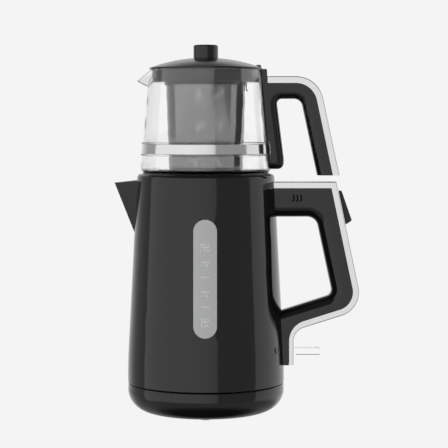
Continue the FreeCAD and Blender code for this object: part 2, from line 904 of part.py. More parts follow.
def kettle_handle():
    back = handle_curve(trim_depth + trim_groove, trim_tail_depth + trim_groove)
    blank = [(handle_inside_x, back[0][1], 0)] + back + [(handle_inside_x, handle_tail_height, 0)]
    opening = slab(handle_opening(), 2.0 * handle_half_width)
    handle = slab(blank, handle_half_width).cut(opening)
    handle = handle.makeFillet(grip_edge_round, edges_on(handle, opening, handle_half_width))
    pocket = handle_pocket().cut(kettle_form(handle_back_wall, 0, kettle_height))
    handle = handle.cut(pocket)
    for boss in handle_bosses():
        handle = handle.fuse(boss)
    for height in handle_screw_heights:
        screw_end = kettle_radius(height) - kettle_wall + handle_screw_length
        handle = handle.cut(rod(handle_screw_radius, vec(handle_inside_x, 0, height),
                                vec(screw_end, 0, height)))
    handle = handle.cut(rod(steam_tube_radius, vec(handle_inside_x, 0, steam_inlet_height),
                            vec(handle_corner_x - trim_depth * 2.0 - grip_thickness, 0,
                                steam_inlet_height)))
    tail_room = lever_thickness / 2.0 + swing_gap
    handle = handle.cut(block(handle_inside_x, handle_tail_x, lever_half_width + swing_gap,
                              lever_height - tail_room - lever_turn_drop(lever_inner_x),
                              lever_height + tail_room + lever_turn_drop(lever_inner_x)))
    handle = handle.cut(rod(lever_pin_radius, vec(lever_pivot_x, -handle_half_width + trim_skin,
                                                  lever_height),
                            vec(lever_pivot_x, handle_half_width - trim_skin, lever_height)))
    return handle.cut(kettle_form(0, 0, kettle_height))


def handle_trim():
    outer = handle_curve(0, 0)
    inner = handle_curve(trim_depth, trim_tail_depth)
    outer = [(handle_inside_x, handle_top, 0)] + outer
    corners = outer + list(reversed(inner))
    corners.append((handle_inside_x, handle_top - trim_depth, 0))
    trim = slab(corners, handle_half_width)
    trim = trim.makeFillet(trim_edge_round, outer_edges(trim, outer, handle_half_width))
    skin = handle_curve(trim_skin, trim_skin)
    deep = handle_curve(trim_depth + trim_skin, trim_tail_depth + trim_skin)
    end = handle_tail_height + handle_end_wall
    pocket = [(handle_inside_x, handle_top - trim_skin, 0)] + skin[:3] + [(skin[3][0], end, 0)]
    pocket += [(deep[3][0], end, 0)] + list(reversed(deep[:3]))
    pocket.append((handle_inside_x, handle_top - trim_depth - trim_skin, 0))
    trim = trim.cut(slab(pocket, handle_half_width - grip_side_wall))
    trim = trim.cut(rocker_well(rocker_half_width + rocker_frame_wall))
    room = lever_thickness / 2.0 + swing_gap + lever_turn_drop(2.0 * lever_pivot_x - handle_tail_x)
    trim = trim.cut(block(lever_pivot_x, lever_end_x, lever_half_width + swing_gap,
                          lever_height - room, lever_height + room))
    return trim.cut(kettle_form(0, 0, kettle_height))


def handle_screws():
    screws = []
    for height in handle_screw_heights:
        start = kettle_radius(height) - kettle_wall
        inside = math.sqrt(start ** 2 - handle_screw_head_radius ** 2) - 2.0 * fit
        head = rod(handle_screw_head_radius, vec(inside - handle_screw_head_height, 0, height),
                   vec(inside, 0, height))
        shank = rod(handle_screw_radius, vec(inside, 0, height),
                    vec(start + handle_screw_length, 0, height))
        screws.append(head.fuse(shank).removeSplitter())
    return Part.makeCompound(screws)


def steam_tube():
    """From the kettle's wall through the upper arm and down the grip to the switch space."""
    start = vec(kettle_radius(steam_inlet_height) - kettle_wall, 0, steam_inlet_height)
    lean = math.radians(handle_lean)
    inset = trim_depth + grip_thickness - grip_inner_wall - steam_tube_radius - swing_gap
    down_x = handle_line(inset, steam_inlet_height)
    corner = vec(down_x, 0, steam_inlet_height)
    down = vec(math.sin(lean), 0, -math.cos(lean))
    reach = steam_bend_radius / math.tan((math.pi / 2.0 + lean) / 2.0)
    low = steam_tube_end_height + grip_low_thickness * 2.0
    length = (steam_inlet_height - low) / math.cos(lean)
    first = corner - vec(1, 0, 0) * reach
    last = corner + down * reach
    inward = (vec(-1, 0, 0) + down).normalize()
    half = (math.pi / 2.0 + lean) / 2.0
    middle = corner + inward * (steam_bend_radius / math.sin(half) - steam_bend_radius)
    path = Part.Wire([
        Part.LineSegment(start, first).toShape(),
        Part.Arc(first, middle, last).toShape(),
        Part.LineSegment(last, corner + down * length).toShape(),
    ])
    solids = []
    for radius in (steam_tube_radius, steam_tube_bore):
        profile = Part.Wire([Part.makeCircle(radius, start, vec(1, 0, 0))])
        solids.append(path.makePipeShell([profile], True, False))
    return solids[0].cut(solids[1])


# Rocker in the grip's back

def rocker_pivot():
    return vec(handle_line(trim_depth / 2.0, rocker_pin_height), 0, rocker_pin_height)


def rocker_well(half_width):
    """The slot in the cap that the rocker's frame fills."""
    room = rocker_frame_wall + rocker_slot_room
    high = rocker_high + room
    low = rocker_low - room
    deep = trim_depth + rocker_depth
    corners = [
        (handle_line(-rocker_proud_low * 2.0, high), high, 0),
        (handle_line(-rocker_proud_low * 2.0, low), low, 0),
        (handle_line(deep, low), low, 0),
        (handle_line(deep, high), high, 0),
    ]
    return slab(corners, half_width)


def rocker_housing():
    """A frame with a closed back, clipped into the cap behind the rocker."""
    low = rocker_low - rocker_slot_room - rocker_frame_wall
    high = rocker_high + rocker_slot_room + rocker_frame_wall
    deep = trim_depth + rocker_depth - rocker_frame_wall
    corners = [
        (handle_line(0, high), high, 0),
        (handle_line(0, low), low, 0),
        (handle_line(deep, low), low, 0),
        (handle_line(deep, high), high, 0),
    ]
    frame = slab(corners, rocker_half_width + rocker_frame_wall - fit)
    inner_low = low + rocker_frame_wall
    inner_high = high - rocker_frame_wall
    hollow = [
        (handle_line(-trim_depth, inner_high), inner_high, 0),
        (handle_line(-trim_depth, inner_low), inner_low, 0),
        (handle_line(deep - rocker_frame_wall, inner_low), inner_low, 0),
        (handle_line(deep - rocker_frame_wall, inner_high), inner_high, 0),
    ]
    frame = frame.cut(slab(hollow, rocker_half_width + lift_gap))
    pivot = rocker_pivot()
    reach = rocker_half_width + rocker_frame_wall
    return frame.cut(rod(rocker_pin_radius + fit, pivot - vec(0, reach, 0), pivot + vec(0, reach, 0)))


def rocker_switch():
    """A wedge whose low end stands out, rounded about the pin through its middle."""
    pivot = rocker_pivot()
    back = trim_depth / 2.0 + rocker_back_reach
    corners = [
        (handle_line(rocker_top_fall - rocker_proud_top, rocker_high), rocker_high, 0),
        (handle_line(-rocker_proud_top, rocker_high), rocker_high, rocker_edge_round),
        (handle_line(-rocker_proud_low, rocker_low), rocker_low, 0),
        (handle_line(trim_skin, rocker_low), rocker_low, 0),
        (handle_line(back, pivot.z - rocker_back_reach), pivot.z - rocker_back_reach, 0),
        (handle_line(back, pivot.z + rocker_back_reach), pivot.z + rocker_back_reach, 0),
    ]
    side = vec(0, rocker_half_width, 0)
    rocker = slab(corners, rocker_half_width).common(rod(rocker_reach, pivot - side, pivot + side))
    end = vec(0, rocker_half_width + rocker_frame_wall - lift_gap, 0)
    return rocker.fuse(rod(rocker_pin_radius, pivot - end, pivot + end))


# Lever in the handle's tail

def lever_turn_drop(x):
    return abs(x - lever_pivot_x) * math.tan(math.radians(lever_turn))


def lever():
    half = lever_thickness / 2.0
    corners = [
        (lever_pivot_x, lever_height - half, 0),
        (lever_end_x, lever_height - half, lever_end_round),
        (lever_end_x, lever_height + half, lever_end_round),
        (lever_pivot_x, lever_height + half, 0),
    ]
    paddle = slab(corners, lever_half_width)
    hub = rod(lever_hub_radius, vec(lever_pivot_x, -lever_half_width, lever_height),
              vec(lever_pivot_x, lever_half_width, lever_height))
    tail = block(lever_inner_x, lever_pivot_x, lever_tail_half_width,
                 lever_height - lever_tail_thickness / 2.0, lever_height + lever_tail_thickness / 2.0)
    hole = rod(lever_pin_radius + fit, vec(lever_pivot_x, -lever_half_width, lever_height),
               vec(lever_pivot_x, lever_half_width, lever_height))
    return paddle.fuse(hub).fuse(tail).cut(hole).removeSplitter()


def lever_pin():
    reach = handle_half_width - trim_skin
    start = vec(lever_pivot_x, -reach, lever_height)
    return rod(lever_pin_radius, start, vec(lever_pivot_x, reach, lever_height))


def power_lamp():
    """A lamp on its board against the handle's back wall, over the lever it lights."""
    low = lever_height + lever_thickness / 2.0 + swing_gap + lever_turn_drop(lever_inner_x)
    start = kettle_radius(low) + handle_back_wall
    board = block(lever_inner_x, start + lamp_board, lamp_board_half_width, low + lamp_length,
                  low + lamp_length + lamp_board_height)
    bulb_x = start + lamp_board + lamp_radius - fit
    bulb = post(lamp_radius, low, low + lamp_length + lamp_board_height, bulb_x)
    return board.fuse(bulb).cut(kettle_form(handle_back_wall, 0, kettle_height)).removeSplitter()


# Kettle lid

def kettle_lid():
    skirt_low = lid_flange_height - lid_skirt_depth
    plate_low = lid_flange_height - lid_wall
    collar_inner = lid_steam_radius - lid_wall
    corners = [
        (collar_inner, plate_low - lid_steam_collar, 0),
        (lid_steam_radius, plate_low - lid_steam_collar, 0),
        (lid_steam_radius, plate_low, 0),
        (lid_skirt_radius - lid_wall, plate_low, 0),
        (lid_skirt_radius - lid_wall, skirt_low, 0),
        (lid_skirt_radius, skirt_low, 0),
        (lid_skirt_radius, lid_flange_low, 0),
        (lid_flange_radius, lid_flange_low, 0),
        (lid_flange_radius, lid_flange_height, lid_edge_round),
        (collar_inner, lid_flange_height, lid_edge_round),
    ]
    return turned(corners).cut(seal_ring(lid_flange_height - lid_seal_drop))


def seal_ring(height):
    return Part.makeTorus(lid_skirt_radius + lid_seal_proud - lid_seal_radius, lid_seal_radius,
                          vec(0, 0, height))


def lid_seal():
    return seal_ring(lid_flange_height - lid_seal_drop)


# Teapot

def pot_radius(height):
    slope = (pot_base_radius - pot_rim_radius) / (pot_rim_height - pot_base_height)
    return pot_base_radius - slope * (height - pot_base_height)


def pot_form(offset, low, high):
    corners = [
        (0, low, 0),
        (pot_radius(low) + offset, low, 0),
        (pot_radius(high) + offset, high, 0),
        (0, high, 0),
    ]
    return turned(corners)


def lip_wedge(wall):
    """The pouring lip's outside, a short beak pulled out of the rim; wall moves its sides in."""
    spread = math.tan(math.radians(lip_half_angle))
    inset = wall / math.sin(math.radians(lip_half_angle))
    low_slope = (lip_tip_x - pot_radius(lip_low_height)) / (lip_tip_height - lip_low_height)
    sections = []
    for height in (pot_rim_height, lip_low_height - pot_wall):
        tip = lip_tip_x + low_slope * (height - lip_tip_height) - inset
        half = spread * (tip - pot_inside_x)
        corners = [vec(-tip, 0, height), vec(-pot_inside_x, half, height),
                   vec(-pot_inside_x, -half, height)]
        sections.append(Part.makePolygon(corners + [corners[0]]))
    return Part.makeLoft(sections, True, True)


def lip_top_cut():
    slope = (lip_top_height - lip_tip_height) / (lip_tip_x - pot_rim_radius)
    far = 2.0 * lip_tip_x
    corners = [
        (-far, lip_tip_height - slope * (far - lip_tip_x), 0),
        (0, lip_tip_height + slope * lip_tip_x, 0),
        (0, pot_rim_height + far, 0),
        (-far, pot_rim_height + far, 0),
    ]
    return slab(corners, far)


def teapot_glass():
    floor = pot_low + pot_floor
    corners = [
        (0, pot_low, 0),
        (pot_radius(pot_low), pot_low, pot_corner_radius),
        (pot_rim_radius, pot_rim_height, pot_rim_edge_round),
        (pot_rim_radius - pot_wall, pot_rim_height, pot_rim_edge_round),
        (pot_radius(floor) - pot_wall, floor, pot_corner_radius - pot_wall),
        (0, floor, 0),
    ]
    glass = turned(corners)
    wedge = lip_wedge(0).cut(pot_form(-pot_wall / 2.0, pot_low, pot_rim_height))
    channel = lip_wedge(pot_wall)
    glass = glass.fuse(wedge).cut(channel)
    round_pot = pot_form(fit, pot_low, pot_rim_height + pot_wall)
    beak_top = lip_top_cut().common(lip_wedge(-pot_wall)).cut(round_pot)
    notch = lip_top_cut().common(lip_wedge(pot_wall))
    glass = glass.fuse(pot_ridge(band_low, band_low + ridge_height))
    glass = glass.fuse(pot_ridge(band_high - ridge_height, band_high))
    return glass.cut(beak_top).cut(notch).removeSplitter()


def pot_ridge(low, high):
    """A ring moulded round the glass, with rounded edges."""
    corners = [
        (pot_radius(low) - pot_wall / 2.0, low, 0),
        (pot_radius(low) + ridge_proud, low, ridge_round),
        (pot_radius(high) + ridge_proud, high, ridge_round),
        (pot_radius(high) - pot_wall / 2.0, high, 0),
    ]
    return turned(corners)


def clamp_band():
    """A steel strap in the groove between the glass's two ridges."""
    low = band_low + ridge_height + seat_gap
    high = band_high - ridge_height - seat_gap
    corners = [
        (pot_radius(low), low, 0),
        (pot_radius(low) + band_thickness, low, 0),
        (pot_radius(high) + band_thickness, high, 0),
        (pot_radius(high), high, 0),
    ]
    return turned(corners)


def band_room():
    """The recess in the handle's leg that takes the ridges and the strap."""
    proud = ridge_proud + seat_gap
    corners = [
        (pot_radius(band_low) - pot_wall, band_low - seat_gap, 0),
        (pot_radius(band_low) + proud, band_low - seat_gap, 0),
        (pot_radius(band_high) + proud, band_high + seat_gap, 0),
        (pot_radius(band_high) - pot_wall, band_high + seat_gap, 0),
    ]
    return turned(corners)


def pot_handle_line(inset, height):
    lean = math.radians(pot_handle_lean)
    return pot_handle_corner_x + pot_handle_slope * (pot_handle_top - height) - inset / math.cos(lean)


def pot_handle_back(inset, end):
    """Corners of the handle's back: the bend and the free end."""
    top = pot_handle_top - inset
    return [
        (pot_handle_line(inset, top), top, max(pot_handle_bend_radius - inset, least_round)),
        (pot_handle_line(inset, end), end, 0),
    ]


def pot_leg_face(height):
    """How far out the leg's face is on the finger opening's side."""
    share = (height - pot_leg_knee) / (pot_opening_top - pot_leg_knee)
    return pot_leg_low_x + share * (pot_leg_top_x - pot_leg_low_x)


def pot_handle_opening():
    inset = pot_trim_depth + pot_grip_thickness
    low = pot_handle_end - pot_trim_depth
    return [
        (pot_inside_x, low, 0),
        (pot_inside_x, pot_leg_bottom, 0),
        (pot_leg_low_x, pot_leg_bottom, pot_leg_end_round),
        (pot_leg_low_x, pot_leg_knee, pot_leg_knee_round),
        (pot_leg_top_x, pot_opening_top, pot_opening_inner_round),
        (pot_handle_line(inset, pot_opening_top), pot_opening_top, pot_opening_round),
        (pot_handle_line(inset, low), low, 0),
    ]


def teapot_handle():
    under_cap = pot_handle_top - pot_trim_depth
    back = pot_handle_back(pot_trim_depth, pot_handle_end)
    blank = [
        (pot_inside_x, pot_leg_top, 0),
        (pot_trim_start_x - pot_leg_lap, pot_leg_top, pot_leg_edge_round),
        (pot_trim_start_x, under_cap, 0),
    ] + back + [(pot_inside_x, pot_handle_end, 0)]
    opening = slab(pot_handle_opening(), 2.0 * pot_handle_half_width)
    handle = slab(blank, pot_handle_half_width).cut(opening)
    handle = handle.makeFillet(pot_grip_round, edges_on(handle, opening, pot_handle_half_width))
    rib = pot_trim_rib(fit)
    handle = handle.fuse(rib)
    handle = handle.cut(pot_form(0, pot_low, pot_leg_top + pot_wall)).cut(band_room())
    screw_height = (band_low + band_high) / 2.0
    start = pot_radius(screw_height)
    handle = handle.cut(rod(band_screw_radius, vec(start - pot_wall, 0, screw_height),
                            vec(pot_leg_low_x + pot_wall, 0, screw_height)))
    head_start = pot_leg_face(screw_height) - band_screw_recess - band_screw_head_height
    handle = handle.cut(rod(band_screw_head_radius + fit, vec(head_start, 0, screw_height),
                            vec(pot_leg_low_x + pot_wall, 0, screw_height)))
    return handle.removeSplitter()


def pot_trim_rib(gap):
    """The rib of the handle that fills the cap's channel."""
    skin = pot_trim_skin + gap
    start = pot_trim_start_x + skin
    end = pot_handle_end + skin
    outer = pot_handle_back(skin, end)
    inner = pot_handle_back(pot_trim_depth, end)
    corners = [(start, pot_handle_top - skin, 0)] + outer + list(reversed(inner))
    corners.append((start, pot_handle_top - pot_trim_depth, 0))
    return slab(corners, pot_handle_half_width - skin)


def teapot_handle_trim():
    outer = pot_handle_back(0, pot_handle_end)
    inner = pot_handle_back(pot_trim_depth, pot_handle_end)
    corners = [(pot_trim_start_x, pot_handle_top, 0)] + outer + list(reversed(inner))
    corners.append((pot_trim_start_x, pot_handle_top - pot_trim_depth, 0))
    trim = slab(corners, pot_handle_half_width)
    outline = [(pot_trim_start_x, pot_handle_top, 0)] + outer
    trim = trim.makeFillet(pot_trim_edge_round, outer_edges(trim, outline, pot_handle_half_width))
    return trim.cut(pot_trim_rib(0))


def band_screw():
    height = (band_low + band_high) / 2.0
    head_start = pot_leg_face(height) - band_screw_recess - band_screw_head_height
    tip = pot_radius(height - band_screw_radius) + band_thickness + fit
    shank = rod(band_screw_radius, vec(tip, 0, height), vec(head_start, 0, height))
    head = rod(band_screw_head_radius, vec(head_start, 0, height),
               vec(head_start + band_screw_head_height, 0, height))
    return shank.fuse(head).removeSplitter()


# Infuser

def infuser_collar():
    flange_low = pot_rim_height
    flange_high = flange_low + collar_flange_thickness
    step_low = collar_low - collar_step_drop
    corners = [
        (collar_radius - collar_thickness, flange_high, 0),
        (collar_flange_radius, flange_high, 0),
        (collar_flange_radius, flange_low, 0),
        (collar_radius, flange_low, 0),
        (collar_radius, collar_low, collar_corner_round),
        (collar_step_radius, collar_low, 0),
        (collar_step_radius, step_low, 0),
        (basket_top_radius, step_low, 0),
        (basket_top_radius, collar_low + collar_thickness, 0),
        (collar_radius - collar_thickness, collar_low + collar_thickness, 0),
    ]
    return turned(corners)


def infuser_basket():
    top = collar_low + collar_thickness
    floor = basket_low + basket_wall
    corners = [
        (0, basket_low, 0),
        (basket_low_radius, basket_low, basket_corner_round),
        (basket_top_radius, top, 0),
        (basket_top_radius + basket_lip, top, 0),
        (basket_top_radius + basket_lip, top + basket_wall, 0),
        (basket_top_radius - basket_wall, top + basket_wall, 0),
        (basket_low_radius - basket_wall, floor, basket_corner_round - basket_wall),
        (0, floor, 0),
    ]
    return turned(corners)


def infuser_hook():
    """The small catch that locks the basket to its collar, on the handle's side."""
    top = collar_low - collar_step_drop
    root = basket_top_radius + fit
    corners = [
        (root, top, 0),
        (root + hook_stem, top, 0),
        (root + hook_stem, top - hook_drop + hook_barb, 0),
        (root + hook_reach, top - hook_drop, 0),
        (root + hook_undercut, top - hook_drop, 0),
        (root, top - hook_drop + hook_barb, 0),
    ]
    return slab(corners, hook_width / 2.0).cut(post(root, basket_low, top))


# Teapot lid

def dome_sphere(offset):
    """Radius of the dome's sphere, and its centre height, for a dome moved in by offset."""
    edge = dome_low + dome_edge
    sphere = (dome_radius ** 2 + dome_rise ** 2) / (2.0 * dome_rise)
    centre = edge + dome_rise - sphere
    return sphere - offset, centre


def dome_height(offset, radius):
    sphere, centre = dome_sphere(offset)
    return centre + math.sqrt(sphere ** 2 - radius ** 2)


def teapot_lid():
    sphere, centre = dome_sphere(0)
    inner_sphere = sphere - dome_wall
    disc = post(dome_radius, dome_low, dome_top)
    cap = disc.common(Part.makeSphere(sphere, vec(0, 0, centre)))
    hollow = post(dome_skirt_radius, dome_low - dome_wall, dome_top).common(
        Part.makeSphere(inner_sphere, vec(0, 0, centre)))
    lid = cap.cut(hollow)
    lug_start = dome_radius - lug_length - lug_inset
    lug_low = dome_height(dome_wall / 2.0, lug_start + lug_length)
    lug_high = dome_height(0, lug_start + lug_length) + lug_height
    corners = [
        (lug_start, lug_low, 0),
        (lug_start + lug_length, lug_low, 0),
        (lug_start + lug_length, lug_high, lug_round),
        (lug_start, lug_high, lug_round),
    ]
    lid = lid.fuse(slab(corners, lug_half_width))
    lid = lid.cut(post(knob_screw_radius, dome_low, dome_top))
    return lid.removeSplitter()


def lid_skirt():
    """The ring welded under the dome, which centres the lid in the infuser's collar."""
    return ring(dome_skirt_radius - fit, dome_skirt_radius - dome_wall, dome_low - dome_skirt_depth,
                dome_low + dome_edge)


def lid_knob():
    low = dome_height(0, knob_radius)
    top = dome_top + knob_height
    seat = dome_height(0, 0)
    corners = [
        (0, low, 0),
        (knob_radius, low, 0),
        (knob_radius, top - knob_crown, knob_round),
        (0, top, 0),
    ]
    sphere, centre = dome_sphere(0)
    knob = turned(corners).cut(Part.makeSphere(sphere, vec(0, 0, centre)))
    return knob.cut(post(knob_screw_radius, low, seat + knob_screw_length - knob_screw_head_height))


def knob_screw():
    seat = dome_height(dome_wall, knob_screw_head_radius)
    head = post(knob_screw_head_radius, seat - knob_screw_head_height, seat)
    shank_top = dome_height(0, 0) + knob_screw_length - knob_screw_head_height
    return head.fuse(post(knob_screw_radius, seat, shank_top)).removeSplitter()


nodes = {
    "base_shell": base_shell,
    "base_bottom_cover": base_bottom_cover,
    "base_feet": base_feet,
    "base_screws": base_screws,
    "base_connector_pillar": base_connector_pillar,
    "connector_contacts": connector_contacts,
    "cord_gland": cord_gland,
    "kettle_body": kettle_body,
    "spout": spout,
    "spout_filter": spout_filter,
    "water_gauge": water_gauge,
    "gauge_seal": gauge_seal,
    "element_plate": element_plate,
    "plate_seal": plate_seal,
    "heating_element": heating_element,
    "kettle_connector": kettle_connector,
    "thermostat_control": thermostat_control,
    "kettle_bottom_cover": kettle_bottom_cover,
    "kettle_bottom_screws": kettle_bottom_screws,
    "kettle_handle": kettle_handle,
    "handle_trim": handle_trim,
    "handle_screws": handle_screws,
    "steam_tube": steam_tube,
    "rocker_housing": rocker_housing,
    "rocker_switch": rocker_switch,
    "lever": lever,
    "lever_pin": lever_pin,
    "power_lamp": power_lamp,
    "kettle_lid": kettle_lid,
    "lid_seal": lid_seal,
    "teapot_glass": teapot_glass,
    "clamp_band": clamp_band,
    "teapot_handle": teapot_handle,
    "teapot_handle_trim": teapot_handle_trim,
    "band_screw": band_screw,
    "infuser_collar": infuser_collar,
    "infuser_basket": infuser_basket,
    "infuser_hook": infuser_hook,
    "teapot_lid": teapot_lid,
    "lid_skirt": lid_skirt,
    "lid_knob": lid_knob,
    "knob_screw": knob_screw,
}

os.makedirs("parts", exist_ok=True)
for name, make in nodes.items():
    shape = make()
    shape.exportStep("parts/" + name + ".step")
    print(name, "solids", len(shape.Solids), "volume", round(shape.Volume), "valid", shape.isValid())
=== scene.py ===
import math

import bpy
import bmesh
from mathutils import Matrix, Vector


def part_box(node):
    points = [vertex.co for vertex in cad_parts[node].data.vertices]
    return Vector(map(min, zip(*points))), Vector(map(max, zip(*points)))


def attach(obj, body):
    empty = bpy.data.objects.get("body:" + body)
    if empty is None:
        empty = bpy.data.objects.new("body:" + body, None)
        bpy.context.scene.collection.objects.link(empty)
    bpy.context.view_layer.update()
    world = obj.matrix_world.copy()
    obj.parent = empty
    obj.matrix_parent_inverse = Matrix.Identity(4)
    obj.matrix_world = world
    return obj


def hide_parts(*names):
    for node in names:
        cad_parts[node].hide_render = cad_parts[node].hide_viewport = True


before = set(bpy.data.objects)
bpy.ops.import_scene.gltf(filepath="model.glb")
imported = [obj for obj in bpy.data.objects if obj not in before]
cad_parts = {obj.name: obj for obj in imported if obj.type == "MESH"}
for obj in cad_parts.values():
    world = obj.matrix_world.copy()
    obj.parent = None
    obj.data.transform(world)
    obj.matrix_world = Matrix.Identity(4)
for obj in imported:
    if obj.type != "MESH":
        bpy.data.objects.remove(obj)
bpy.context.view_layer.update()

# Studio
# A pale room with one wide soft box in front and to the left, a bright wall on the right, and dark flags
# between them that give the gloss its upright bands. The ceiling and the lower part are darker.

def to_linear(colour):
    """An sRGB hex colour, such as "#f4f4f4", as linear red, green, blue and alpha."""
    parts = [int(colour[i:i + 2], 16) / 255 for i in (1, 3, 5)]
    return (*[p / 12.92 if p <= 0.04045 else ((p + 0.055) / 1.055) ** 2.4 for p in parts], 1)


def add_node(tree, kind, inputs=(), **settings):
    """A node of a kind. An input is a value, or another node's output to link from."""
    node = tree.nodes.new(kind)
    for name, value in settings.items():
        setattr(node, name, value)
    for name, value in dict(inputs).items():
        if isinstance(value, bpy.types.NodeSocket):
            tree.links.new(value, node.inputs[name])
        else:
            node.inputs[name].default_value = value
    return node


photo_side = 448
focal_pixels = 1600
camera_place = (0.019, -1.68, 0.300)
camera_tilt = 3.47
lens = bpy.data.cameras.new("camera")
lens.sensor_width = 36
lens.lens = lens.sensor_width * focal_pixels / photo_side
camera = bpy.data.objects.new("camera", lens)
camera.location = camera_place
camera.rotation_euler = (math.radians(90 - camera_tilt), 0, 0)
bpy.context.scene.collection.objects.link(camera)
bpy.context.scene.camera = camera
bpy.context.scene.view_settings.view_transform = "Standard"

world = bpy.data.worlds.new("studio")
bpy.context.scene.world = world
world.use_nodes = True
room = world.node_tree
room.nodes.clear()
place = add_node(room, "ShaderNodeTexCoord")
axes = add_node(room, "ShaderNodeSeparateXYZ", {0: place.outputs["Generated"]})
toward_camera = add_node(room, "ShaderNodeMath", {0: axes.outputs["Y"], 1: -1}, operation="MULTIPLY")
bearing = add_node(room, "ShaderNodeMath", {0: axes.outputs["X"], 1: toward_camera.outputs[0]},
                   operation="ARCTAN2")
turn = add_node(room, "ShaderNodeMapRange", {0: bearing.outputs[0], 1: -math.pi, 2: math.pi})
# Bearing from the camera's side in degrees, right positive, and how bright the room is there.
levels = [(-180, 0.905), (-150, 0.75), (-128, 0.42), (-103, 0.38), (-100, 1.05), (-30, 1.08), (0, 1.0),
          (16.5, 0.84), (18, 0.37), (77, 0.36), (79, 0.95), (130, 1.0), (150, 0.95), (180, 0.905)]
ramp = add_node(room, "ShaderNodeValToRGB", {0: turn.outputs[0]})
stops = ramp.color_ramp.elements
while len(stops) > 1:
    stops.remove(stops[0])
for index, (angle, level) in enumerate(levels):
    stop = stops[0] if index == 0 else stops.new((angle + 180) / 360)
    stop.position = (angle + 180) / 360
    stop.color = (level, level, level, 1)

def shade_toward(colour, axis, start, end, level):
    """Darkens the room from one height to another, as the upright part of a direction."""
    amount = add_node(room, "ShaderNodeMapRange", {0: axis, 1: start, 2: end},
                      interpolation_type="SMOOTHSTEP")
    return add_node(room, "ShaderNodeMix", {0: amount.outputs[0], 6: colour, 7: (level, level, level, 1)},
                    data_type="RGBA").outputs[2]


upward = axes.outputs["Z"]
walls = shade_toward(ramp.outputs[0], upward, start=0.42, end=0.62, level=0.14)
walls = shade_toward(walls, upward, start=-0.28, end=-0.50, level=0.40)
walls = shade_toward(walls, upward, start=-0.66, end=-0.92, level=0.01)
rays = add_node(room, "ShaderNodeLightPath")
backdrop = to_linear("#f4f4f4")
shown = add_node(room, "ShaderNodeMix", {0: rays.outputs["Is Camera Ray"], 6: walls, 7: backdrop},
                 data_type="RGBA")
glow = add_node(room, "ShaderNodeBackground", {0: shown.outputs[2], 1: 1.0})
add_node(room, "ShaderNodeOutputWorld", {0: glow.outputs[0]})

# Floor
# A wide pale sheet, lit evenly from behind so that it meets the room with no line and takes no shadow.
# It isn't part of the object.

floor_half = 6.0
floor_mesh = bpy.data.meshes.new("floor")
floor_corners = [(-floor_half, -floor_half, 0), (floor_half, -floor_half, 0),
                 (floor_half, floor_half, 0), (-floor_half, floor_half, 0)]
floor_mesh.from_pydata(floor_corners, [], [(0, 1, 2, 3)])
floor = bpy.data.objects.new("floor", floor_mesh)
bpy.context.scene.collection.objects.link(floor)
lit_sheet = bpy.data.materials.new("backlit_paper")
lit_sheet.use_nodes = True
lit_sheet.node_tree.nodes.clear()
sheet_glow = add_node(lit_sheet.node_tree, "ShaderNodeEmission", {"Color": backdrop, "Strength": 1.0})
add_node(lit_sheet.node_tree, "ShaderNodeOutputMaterial", {"Surface": sheet_glow.outputs[0]})
floor_mesh.materials.append(lit_sheet)
floor.visible_glossy = False
floor.visible_diffuse = False
floor.visible_shadow = False

# Power base and kettle: outer plastic
# Injection moulded ABS, left as glossy as the mould: black, with the faintest waviness in its shine.
# The base shell, the kettle's body and spout, both handles and the lid's knob are made of it.

def new_material(name, base, roughness, metallic=0.0, ior=1.5):
    """A material with its own shader, its tree and the object coordinates."""
    material = bpy.data.materials.new(name)
    material.use_nodes = True
    tree = material.node_tree
    shader = tree.nodes["Principled BSDF"]
    shader.inputs["Base Color"].default_value = to_linear(base)
    shader.inputs["Roughness"].default_value = roughness
    shader.inputs["Metallic"].default_value = metallic
    shader.inputs["IOR"].default_value = ior
    spot = add_node(tree, "ShaderNodeTexCoord").outputs["Object"]
    return material, tree, shader, spot


def add_grain(tree, shader, spot, size_mm, depth_mm, rough=()):
    """Fine unevenness of a real size: a bump, and a roughness that varies with it."""
    noise = add_node(tree, "ShaderNodeTexNoise", {"Vector": spot, "Scale": 1000 / size_mm, "Detail": 3})
    bump = add_node(tree, "ShaderNodeBump", {"Height": noise.outputs[0], "Distance": depth_mm / 1000,
                                             "Strength": 1.0})
    tree.links.new(bump.outputs[0], shader.inputs["Normal"])
    if rough:
        spread = add_node(tree, "ShaderNodeMapRange", {0: noise.outputs[0], 3: rough[0], 4: rough[1]})
        tree.links.new(spread.outputs[0], shader.inputs["Roughness"])


crease_angle = math.radians(24)
weld_distance = 2e-6
shine_tree = bpy.data.node_groups.new("smooth_facets", "GeometryNodeTree")
shine_tree.interface.new_socket("Geometry", in_out="INPUT", socket_type="NodeSocketGeometry")
shine_tree.interface.new_socket("Geometry", in_out="OUTPUT", socket_type="NodeSocketGeometry")
mesh_in = add_node(shine_tree, "NodeGroupInput")
merged = add_node(shine_tree, "GeometryNodeMergeByDistance",
                  {"Geometry": mesh_in.outputs[0], "Distance": weld_distance})
rounded = add_node(shine_tree, "GeometryNodeSetShadeSmooth",
                   {"Geometry": merged.outputs[0], "Shade Smooth": True})
fold = add_node(shine_tree, "GeometryNodeInputMeshEdgeAngle")
shallow = add_node(shine_tree, "FunctionNodeCompare", {0: fold.outputs[0], 1: crease_angle},
                   operation="LESS_THAN")
creased = add_node(shine_tree, "GeometryNodeSetShadeSmooth",
                   {"Geometry": rounded.outputs[0], "Shade Smooth": shallow.outputs[0]}, domain="EDGE")
add_node(shine_tree, "NodeGroupOutput", {0: creased.outputs[0]})


def smooth_cad(node):
    """Gives a CAD node's facets the shine of the curved surface they stand for. Its mesh stays as it is."""
    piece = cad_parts[node]
    piece.modifiers.new("joined", "NODES").node_group = shine_tree
    weighted = piece.modifiers.new("shine", "WEIGHTED_NORMAL")
    weighted.keep_sharp = True
    weighted.weight = 100
    return piece


